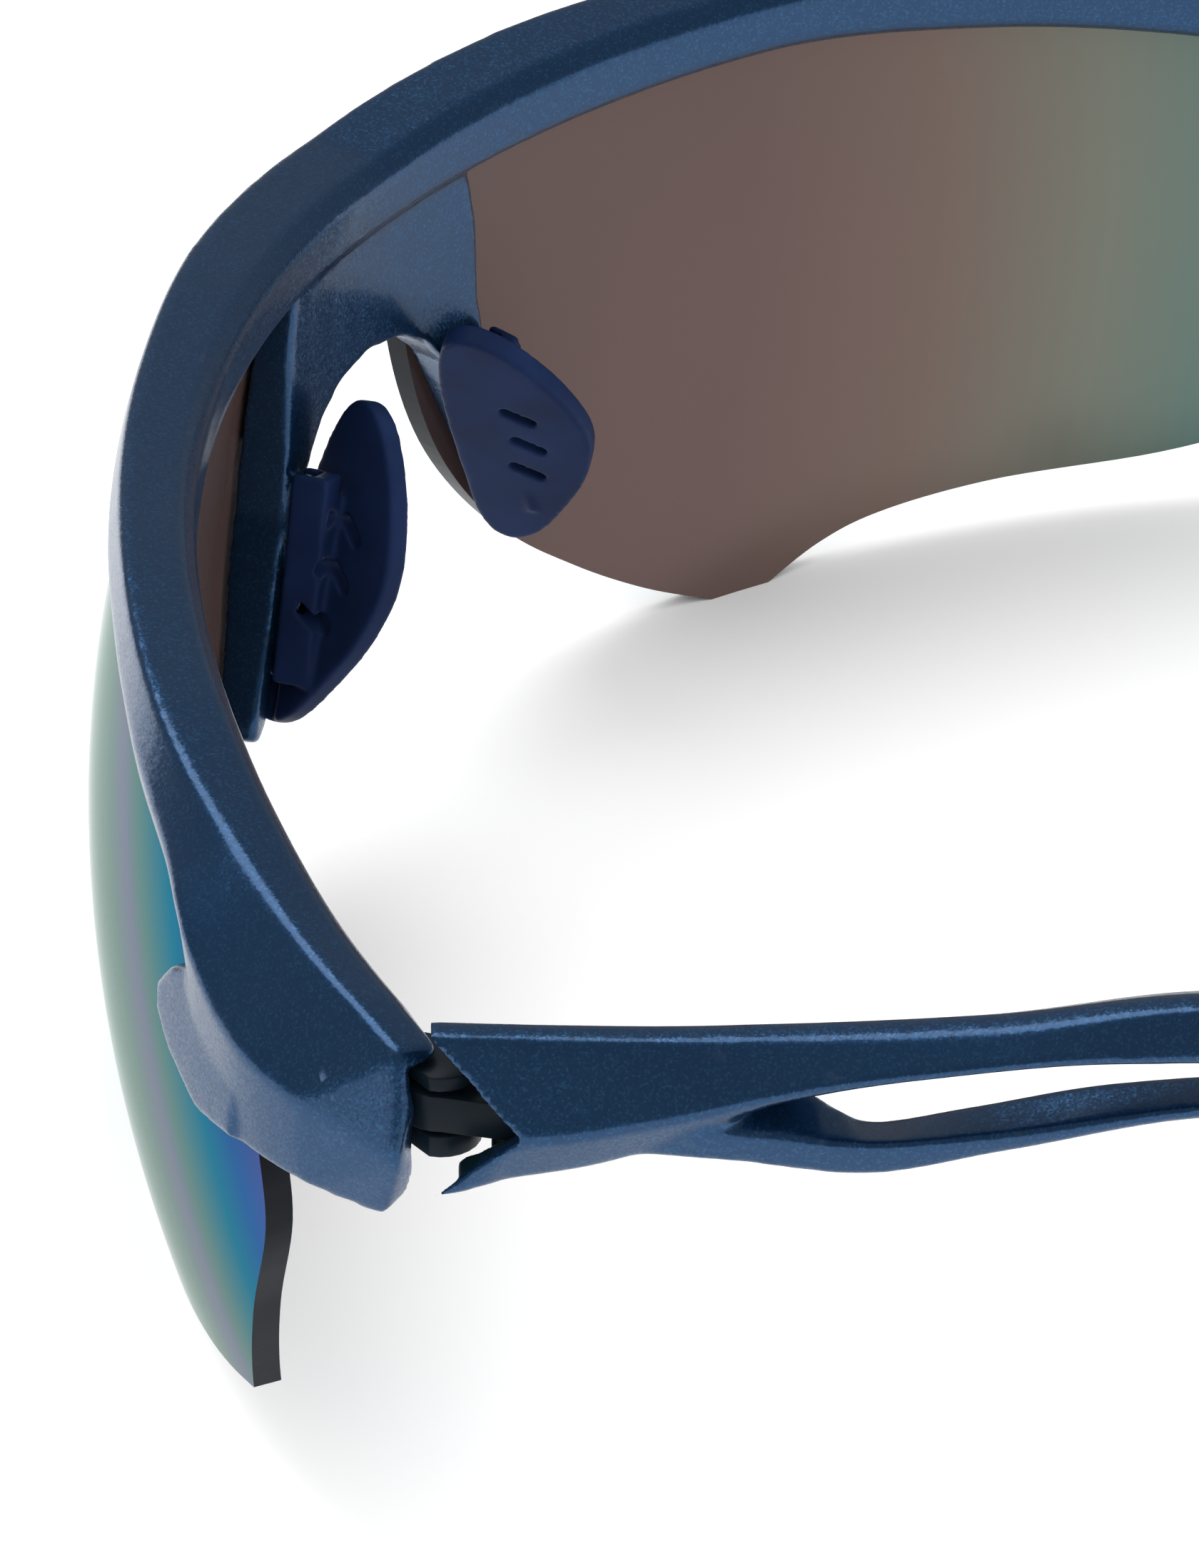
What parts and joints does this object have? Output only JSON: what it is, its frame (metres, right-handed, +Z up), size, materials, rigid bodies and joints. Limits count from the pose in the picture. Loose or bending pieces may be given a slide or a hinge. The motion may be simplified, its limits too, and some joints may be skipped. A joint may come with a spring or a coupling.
{
  "type": "wraparound sport sunglasses",
  "caption": "Half-rim wraparound sport sunglasses with two domed mirror lenses, a moulded front with nose pads, and folding forked temples with rubber ear tips.",
  "frame": {"origin": "centre of the whole object's footprint at rest, on the table", "axes": "+X to the wearer's left, +Y towards the wearer (the temples point back along it), +Z up"},
  "size_m": [0.1378, 0.1564, 0.0401],
  "materials": {
    "navy_paint": "glossy metallic navy paint with fine blue flake under clear coat",
    "mirror_lens": "tinted polycarbonate with a green-teal-violet mirror coating outside, brown inside",
    "indigo_rubber": "soft dark indigo rubber, satin",
    "hinge_black": "black moulded nylon, semi-gloss",
    "screw_steel": "fine turned steel"
  },
  "bodies": {
    "front": {"front_frame": "navy_paint", "lens_left": "mirror_lens", "nose_pad_left": "indigo_rubber", "hinge_block_left": "hinge_black", "hinge_screw_left": "screw_steel", "hinge_nut_left": "screw_steel", "lens_right": "mirror_lens", "nose_pad_right": "indigo_rubber", "hinge_block_right": "hinge_black", "hinge_screw_right": "screw_steel", "hinge_nut_right": "screw_steel"},
    "temple_left": {"temple_left": "navy_paint", "hinge_tongue_left": "hinge_black", "ear_tip_left": "indigo_rubber"},
    "temple_right": {"temple_right": "navy_paint", "hinge_tongue_right": "hinge_black", "ear_tip_right": "indigo_rubber"}
  },
  "joints": [
    {"name": "fold_left", "type": "hinge", "parent": "front", "child": "temple_left", "pos_m": [0.06481, -0.02642, 0.0315], "axis": [0, 0, 1], "range_deg": [-34, 41]},
    {"name": "fold_right", "type": "hinge", "parent": "front", "child": "temple_right", "pos_m": [-0.06399, -0.02642, 0.0315], "axis": [0, 0, -1], "range_deg": [0, 90]}
  ]
}
